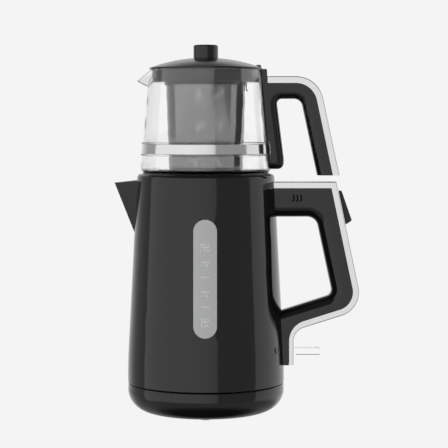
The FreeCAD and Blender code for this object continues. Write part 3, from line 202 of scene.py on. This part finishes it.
def finish_nodes(material, *names):
    """Gives CAD nodes a material and a smooth shine."""
    for name in names:
        piece = smooth_cad(name)
        piece.data.materials.clear()
        piece.data.materials.append(material)


glossy_abs, tree, shader, spot = new_material("glossy_black_abs", "#151516", 0.06)
add_grain(tree, shader, spot, 30, 0.010, rough=(0.04, 0.09))
finish_nodes(glossy_abs, "base_shell", "kettle_body", "spout", "kettle_handle", "teapot_handle", "lid_knob")

# Inner and underside plastic
# Black polypropylene with a fine spark-eroded texture, which hides scratches and scatters the light.
# Screwed or clipped in where it is out of sight.

textured_pp, tree, shader, spot = new_material("textured_black_polypropylene", "#1c1c1d", 0.45)
add_grain(tree, shader, spot, 0.8, 0.05, rough=(0.38, 0.55))
finish_nodes(textured_pp, "base_bottom_cover", "base_connector_pillar", "kettle_bottom_cover",
             "kettle_connector", "thermostat_control", "rocker_housing", "rocker_switch", "spout_filter",
             "kettle_lid")

# Teapot lid
# Black ABS dome with a slightly softer shine than the body, so the knob has no mirror image in it.
# The skirt ring is welded underneath.

lid_abs, tree, shader, spot = new_material("satin_black_abs", "#1a1a1b", 0.2)
add_grain(tree, shader, spot, 6, 0.004, rough=(0.16, 0.24))
finish_nodes(lid_abs, "teapot_lid", "lid_skirt")

# Feet and cord gland
# Moulded rubber, matt, pressed into their holes.

soft_rubber, tree, shader, spot = new_material("moulded_rubber", "#232323", 0.8)
add_grain(tree, shader, spot, 0.6, 0.04, rough=(0.7, 0.9))
finish_nodes(soft_rubber, "base_feet", "cord_gland")

# Silver caps
# Thin ABS caps lacquered satin silver, clipped along the backs of both handles.

silver_lacquer, tree, shader, spot = new_material("satin_silver_lacquer", "#e8e8e8", 0.24, metallic=0.9)
add_grain(tree, shader, spot, 0.5, 0.004, rough=(0.18, 0.3))
finish_nodes(silver_lacquer, "handle_trim", "teapot_handle_trim")

# Clamp band, floor plate, heater, pin and screws
# Stainless steel, rolled or turned and polished almost to a mirror. The strap is pulled tight round the
# pot by its screw, and the basket's rim below is of the same steel.

polished_steel, tree, shader, spot = new_material("polished_stainless", "#dadada", 0.1, metallic=1.0)
add_grain(tree, shader, spot, 0.4, 0.002, rough=(0.06, 0.16))
finish_nodes(polished_steel, "clamp_band", "element_plate", "heating_element", "lever_pin", "base_screws",
             "kettle_bottom_screws", "handle_screws", "band_screw", "knob_screw")

# Seals and steam tube
# Grey silicone, soft and slightly cloudy. The seals are moulded rings squeezed into their grooves, and
# the tube is extruded and pushed into the handle.

silicone, tree, shader, spot = new_material("grey_silicone", "#c9c9c6", 0.5)
add_grain(tree, shader, spot, 1.5, 0.01, rough=(0.42, 0.6))
finish_nodes(silicone, "gauge_seal", "plate_seal", "lid_seal", "steam_tube")

# Contacts and lamp
# Stamped brass contacts, pressed into the connector's pillar, and a red epoxy lamp on its board, slid
# into the handle above the lever.

stamped_brass, tree, shader, spot = new_material("stamped_brass", "#c9a45c", 0.25, metallic=1.0)
add_grain(tree, shader, spot, 0.5, 0.004, rough=(0.2, 0.35))
finish_nodes(stamped_brass, "connector_contacts")
red_epoxy, tree, shader, spot = new_material("red_lamp_epoxy", "#8f2a20", 0.15)
add_grain(tree, shader, spot, 0.5, 0.004)
finish_nodes(red_epoxy, "power_lamp")

# Water gauge
# Frosted styrene window, moulded in one piece with its flange and sealed from behind, so the water shows
# as a dim level. Its litre marks and figures are screen printed in white on the outside.

frosted, tree, shader, spot = new_material("frosted_styrene", "#d2d3d3", 0.34)
add_grain(tree, shader, spot, 0.7, 0.02, rough=(0.3, 0.42))
finish_nodes(frosted, "water_gauge")

body_foot_radius = 0.0824
body_shoulder_radius = 0.0719
body_knee_height = 0.054
body_height = 0.2515
print_thickness = 0.00012
letter_weight = 0.0002
capital_share = 0.69
figure_height = 0.003612
figure_drop = 0.0033
word_height = 0.00336
word_rise = 0.002805
tick_faces = 6
tick_half_width = 0.0042
tick_half_height = 0.0006
first_mark = 0.1042
mark_step = 0.015
mark_figures = ["0.5L", "", "1.0L", "", "1.5L", "1.75L"]
white_ink, tree, shader, spot = new_material("white_screen_ink", "#f2f4f3", 0.5)
add_grain(tree, shader, spot, 0.3, 0.004, rough=(0.45, 0.6))


def wrap_on_body(mesh, proud):
    """Bends a flat mesh, drawn in x and z, on to the front of the kettle's cone."""
    slope = (body_foot_radius - body_shoulder_radius) / (body_height - body_knee_height)
    for vertex in mesh.vertices:
        x, z = vertex.co.x, vertex.co.z
        radius = body_foot_radius - slope * (z - body_knee_height) + proud
        vertex.co.y = -math.sqrt(radius ** 2 - x ** 2)


def flat_text(words, height, x, z):
    """Letters as a flat mesh facing the front, their middle at (x, z)."""
    font = bpy.data.curves.new(words, "FONT")
    font.body = words
    font.size = height / capital_share
    font.align_x = "CENTER"
    font.resolution_u = 3
    font.offset = letter_weight
    letters = bpy.data.objects.new(words, font)
    bpy.context.scene.collection.objects.link(letters)
    bpy.context.view_layer.update()
    mesh = bpy.data.meshes.new_from_object(letters)
    bpy.data.objects.remove(letters)
    for vertex in mesh.vertices:
        vertex.co = Vector((vertex.co.x + x, 0, vertex.co.y + z - height / 2))
    return mesh


def strip(x_low, x_high, z_low, z_high, count):
    """A flat strip of a few faces across, facing the front."""
    mesh = bpy.data.meshes.new("strip")
    points = []
    for i in range(count + 1):
        x = x_low + (x_high - x_low) * i / count
        points += [(x, 0, z_low), (x, 0, z_high)]
    mesh.from_pydata(points, [], [(2 * i, 2 * i + 2, 2 * i + 3, 2 * i + 1) for i in range(count)])
    return mesh


def one_piece(name, meshes, material, body):
    """Joins meshes into one piece of a material that rides on a body."""
    whole = bmesh.new()
    for mesh in meshes:
        whole.from_mesh(mesh)
        bpy.data.meshes.remove(mesh)
    joined = bpy.data.meshes.new(name)
    whole.to_mesh(joined)
    whole.free()
    joined.materials.clear()
    joined.materials.append(material)
    piece = bpy.data.objects.new(name, joined)
    bpy.context.scene.collection.objects.link(piece)
    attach(piece, body)
    return piece


print_meshes = []
for index, words in enumerate(mark_figures):
    height = first_mark + mark_step * index
    print_meshes.append(strip(-tick_half_width, tick_half_width, height - tick_half_height,
                              height + tick_half_height, tick_faces))
    if words:
        print_meshes.append(flat_text(words, figure_height, 0, height - figure_drop))
last_mark = first_mark + mark_step * (len(mark_figures) - 1)
print_meshes.append(flat_text("MIN", word_height, 0, first_mark + word_rise))
print_meshes.append(flat_text("MAX", word_height, 0, last_mark + word_rise))
for mesh in print_meshes:
    wrap_on_body(mesh, print_thickness)
gauge_print = one_piece("gauge_print", print_meshes, white_ink, "kettle")
backing = gauge_print.modifiers.new("ink", "SOLIDIFY")
backing.thickness = print_thickness
backing.offset = -1

# Keep-warm mark
# Three rising strokes, pad printed in black on the side of the handle's upper arm, beside the rocker.

handle_side = 0.015
stroke_radius = 0.0008
stroke_flatness = 0.25
stroke_places = (0.0915, 0.0954, 0.0993)
stroke_top = 0.2294
stroke_low = 0.2229
# Each point of a stroke is its distance to the side and its share of the stroke's height.
stroke_route = [(0, 1), (0.0001, 0.7), (0.0003, 0.35), (0.0002, 0.08), (-0.00056, 0), (-0.0014, 0.03)]
black_ink, tree, shader, spot = new_material("black_pad_ink", "#030303", 0.35)
shader.inputs["Specular IOR Level"].default_value = 0.08
add_grain(tree, shader, spot, 0.3, 0.004, rough=(0.3, 0.45))
stroke_meshes = []
for x in stroke_places:
    line = bpy.data.curves.new("stroke", "CURVE")
    line.dimensions = "3D"
    line.bevel_depth = stroke_radius
    line.bevel_resolution = 2
    line.use_fill_caps = True
    spline = line.splines.new("NURBS")
    spline.points.add(len(stroke_route) - 1)
    for point, (aside, share) in zip(spline.points, stroke_route):
        point.co = (x + aside, -handle_side, stroke_low + (stroke_top - stroke_low) * share, 1)
    spline.order_u = 3
    spline.use_endpoint_u = True
    drawn = bpy.data.objects.new("stroke", line)
    bpy.context.scene.collection.objects.link(drawn)
    bpy.context.view_layer.update()
    mesh = bpy.data.meshes.new_from_object(drawn)
    bpy.data.objects.remove(drawn)
    for vertex in mesh.vertices:
        vertex.co.y = -handle_side + (vertex.co.y + handle_side) * stroke_flatness
    stroke_meshes.append(mesh)
one_piece("keep_warm_mark", stroke_meshes, black_ink, "kettle")

# Lever
# Clear acrylic, moulded and polished on every face, hung on its steel pin. Two grey strips underneath
# along both sides are painted shade, standing for the dark line of shade along the lever's lower edge.

clear_acrylic, tree, shader, spot = new_material("clear_acrylic", "#ffffff", 0.0, ior=1.49)
shader.inputs["Transmission Weight"].default_value = 1.0
finish_nodes(clear_acrylic, "lever")

lever_low, lever_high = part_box("lever")
# Painted shade: two thin grey strips under the lever's sides, where its lower edge shows only a dark line
# of shade.
shade_line_start = 0.0945
shade_line_inset = 0.0006
shade_line_thickness = 0.0006
shade_line_width = 0.0009
painted_shade_ink, tree, shader, spot = new_material("grey_painted_shade", "#3a3a3a", 0.6)
add_grain(tree, shader, spot, 0.3, 0.004, rough=(0.5, 0.7))


def box_mesh(low, high):
    """A plain box, its faces outwards."""
    form = bmesh.new()
    bmesh.ops.create_cube(form, size=1)
    middle = [(a + b) / 2 for a, b in zip(low, high)]
    size = [b - a for a, b in zip(low, high)]
    for vertex in form.verts:
        vertex.co = Vector([m + c * s for m, c, s in zip(middle, vertex.co, size)])
    mesh = bpy.data.meshes.new("box")
    form.to_mesh(mesh)
    form.free()
    return mesh


shade_lines = []
for side_low in (lever_low.y + shade_line_inset, lever_high.y - shade_line_inset - shade_line_width):
    shade_lines.append(box_mesh((shade_line_start, side_low, lever_low.z - shade_line_thickness),
                          (lever_high.x - shade_line_inset, side_low + shade_line_width, lever_low.z)))
one_piece("lever_painted_shade_line", shade_lines, painted_shade_ink, "power_lever")

# Teapot
# Blown borosilicate glass, clear and without a tint. The pouring lip and the two ridges beside the
# strap's groove are of one piece with it.

borosilicate, tree, shader, spot = new_material("borosilicate_glass", "#ffffff", 0.0, ior=1.47)
shader.inputs["Transmission Weight"].default_value = 1.0
finish_nodes(borosilicate, "teapot_glass")

# Infuser collar
# Smoky see-through polycarbonate ring, moulded, that hangs by its flange in the pot's mouth. The small
# catch under it is of the same plastic.

smoked, tree, shader, spot = new_material("smoked_polycarbonate", "#3d3e3e", 0.05, ior=1.58)
shader.inputs["Transmission Weight"].default_value = 0.55
add_grain(tree, shader, spot, 20, 0.01, rough=(0.03, 0.08))
finish_nodes(smoked, "infuser_collar", "infuser_hook")

# Infuser basket
# Etched stainless sheet, a dull grey screen to the eye, rolled and seam welded, with a rim and a base.
# The holes are drawn 0.5 mm wide at a 1.6 mm pitch, several times the real size, so that they show.

hole_pitch = 0.0016
hole_share = 0.3
sheet_thickness = 0.0003
end_uprightness = 0.9
basket_low, basket_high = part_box("infuser_basket")
cup_top_radius = 0.0420 - sheet_thickness
cup_low_radius = 0.0390 - sheet_thickness
cup_rim_radius = basket_high.x
cup_rim_height = basket_high.z
cup_rim_drop = 0.0045
etched_steel, tree, shader, spot = new_material("etched_stainless_mesh", "#888888", 0.07, metallic=1.0)
add_grain(tree, shader, spot, 3, 0.0002, rough=(0.05, 0.09))

mesh_tree = bpy.data.node_groups.new("perforated_cup", "GeometryNodeTree")
for label in ("Top radius", "Low radius", "Height", "Low", "Pitch", "Hole share"):
    mesh_tree.interface.new_socket(label, in_out="INPUT", socket_type="NodeSocketFloat")
mesh_tree.interface.new_socket("Material", in_out="INPUT", socket_type="NodeSocketMaterial")
mesh_tree.interface.new_socket("Geometry", in_out="OUTPUT", socket_type="NodeSocketGeometry")
given = add_node(mesh_tree, "NodeGroupInput").outputs
girth = add_node(mesh_tree, "ShaderNodeMath", {0: given["Top radius"], 1: math.tau}, operation="MULTIPLY")
around = add_node(mesh_tree, "ShaderNodeMath", {0: girth.outputs[0], 1: given["Pitch"]}, operation="DIVIDE")
rows = add_node(mesh_tree, "ShaderNodeMath", {0: given["Height"], 1: given["Pitch"]}, operation="DIVIDE")
rings = add_node(mesh_tree, "ShaderNodeMath", {0: given["Low radius"], 1: given["Pitch"]},
                 operation="DIVIDE")
cup = add_node(mesh_tree, "GeometryNodeMeshCone", {
    "Vertices": around.outputs[0], "Side Segments": rows.outputs[0], "Fill Segments": rings.outputs[0],
    "Radius Top": given["Top radius"], "Radius Bottom": given["Low radius"], "Depth": given["Height"]},
    fill_type="NGON")
normal_now = add_node(mesh_tree, "GeometryNodeInputNormal")
upright = add_node(mesh_tree, "ShaderNodeSeparateXYZ", {0: normal_now.outputs[0]})
flat_end = add_node(mesh_tree, "ShaderNodeMath", {0: upright.outputs["Z"]}, operation="ABSOLUTE")
is_end = add_node(mesh_tree, "FunctionNodeCompare", {0: flat_end.outputs[0], 1: end_uprightness},
                  operation="GREATER_THAN")
wall = add_node(mesh_tree, "GeometryNodeDeleteGeometry",
                {"Geometry": cup.outputs["Mesh"], "Selection": is_end.outputs[0]}, domain="FACE")
grown = add_node(mesh_tree, "GeometryNodeExtrudeMesh",
                 {"Mesh": wall.outputs[0], "Offset Scale": 0.0, "Individual": True}, mode="FACES")
shrunk = add_node(mesh_tree, "GeometryNodeScaleElements",
                  {"Geometry": grown.outputs["Mesh"], "Selection": grown.outputs["Top"],
                   "Scale": given["Hole share"]}, domain="FACE")
holed = add_node(mesh_tree, "GeometryNodeDeleteGeometry",
                 {"Geometry": shrunk.outputs[0], "Selection": grown.outputs["Top"]}, domain="FACE")
lifted = add_node(mesh_tree, "ShaderNodeCombineXYZ", {"Z": given["Low"]})
raised = add_node(mesh_tree, "GeometryNodeTransform",
                  {"Geometry": holed.outputs[0], "Translation": lifted.outputs[0]})
real = add_node(mesh_tree, "GeometryNodeRealizeInstances", {"Geometry": raised.outputs[0]})
dressed = add_node(mesh_tree, "GeometryNodeSetMaterial",
                   {"Geometry": real.outputs[0], "Material": given["Material"]})
add_node(mesh_tree, "NodeGroupOutput", {0: dressed.outputs[0]})


def from_tree(name, group, values, body):
    """Runs a geometry tree with its named inputs, and keeps the mesh as a piece that rides on a body."""
    seed = bpy.data.objects.new(name + "_seed", bpy.data.meshes.new(name + "_seed"))
    bpy.context.scene.collection.objects.link(seed)
    modifier = seed.modifiers.new("tree", "NODES")
    modifier.node_group = group
    for item in group.interface.items_tree:
        if item.in_out == "INPUT" and item.name in values:
            modifier[item.identifier] = values[item.name]
    bpy.context.view_layer.update()
    evaluated = seed.evaluated_get(bpy.context.evaluated_depsgraph_get())
    mesh = bpy.data.meshes.new_from_object(evaluated)
    bpy.data.objects.remove(seed)
    mesh.name = name
    piece = bpy.data.objects.new(name, mesh)
    bpy.context.scene.collection.objects.link(piece)
    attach(piece, body)
    return piece


basket = from_tree("basket_mesh", mesh_tree, {
    "Top radius": cup_top_radius, "Low radius": cup_low_radius, "Low": basket_low.z + sheet_thickness,
    "Height": cup_rim_height - cup_rim_drop - basket_low.z, "Pitch": hole_pitch, "Hole share": hole_share,
    "Material": etched_steel}, "infuser")
sheet_metal = basket.modifiers.new("sheet", "SOLIDIFY")
sheet_metal.thickness = sheet_thickness
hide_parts("infuser_basket")


def lathe(name, outline, material, body, steps=128, smooth_below=30):
    """A closed outline of (radius, height) turned about the upright axis."""
    form = bmesh.new()
    points = [form.verts.new((r, 0, z)) for r, z in outline]
    edges = [form.edges.new((points[i], points[(i + 1) % len(points)])) for i in range(len(points))]
    bmesh.ops.spin(form, geom=points + edges, cent=(0, 0, 0), axis=(0, 0, 1), angle=math.tau, steps=steps,
                   use_merge=True)
    bmesh.ops.remove_doubles(form, verts=form.verts, dist=1e-7)
    bmesh.ops.recalc_face_normals(form, faces=form.faces)
    for face in form.faces:
        face.smooth = True
    for edge in form.edges:
        edge.smooth = edge.calc_face_angle(0) < math.radians(smooth_below)
    mesh = bpy.data.meshes.new(name)
    form.to_mesh(mesh)
    form.free()
    mesh.materials.append(material)
    piece = bpy.data.objects.new(name, mesh)
    bpy.context.scene.collection.objects.link(piece)
    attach(piece, body)
    return piece


rim_wall = 0.0008
rim_inner_radius = cup_top_radius - rim_wall
rim_lower_edge = cup_rim_height - cup_rim_drop
rim_outline = [(cup_rim_radius, cup_rim_height - rim_wall), (cup_rim_radius, cup_rim_height),
               (rim_inner_radius, cup_rim_height), (rim_inner_radius, rim_lower_edge),
               (cup_top_radius, rim_lower_edge), (cup_top_radius, cup_rim_height - rim_wall)]
basket_rim = lathe("basket_rim", rim_outline, polished_steel, "infuser")

base_fall = basket_low.z
base_rise = 0.0022
base_bend = 0.00066
base_inner_bend = 0.00044
dish_radius = cup_low_radius + sheet_thickness
dish_inner_radius = dish_radius - rim_wall
dish_outline = [(0, base_fall), (dish_radius - base_rise, base_fall),
                (dish_radius - base_bend, base_fall + base_bend), (dish_radius, base_fall + base_rise),
                (dish_inner_radius, base_fall + base_rise),
                (dish_inner_radius - base_bend, base_fall + rim_wall + base_inner_bend),
                (dish_inner_radius - base_rise, base_fall + rim_wall), (0, base_fall + rim_wall)]
basket_base = lathe("basket_base", dish_outline, etched_steel, "infuser", smooth_below=50)
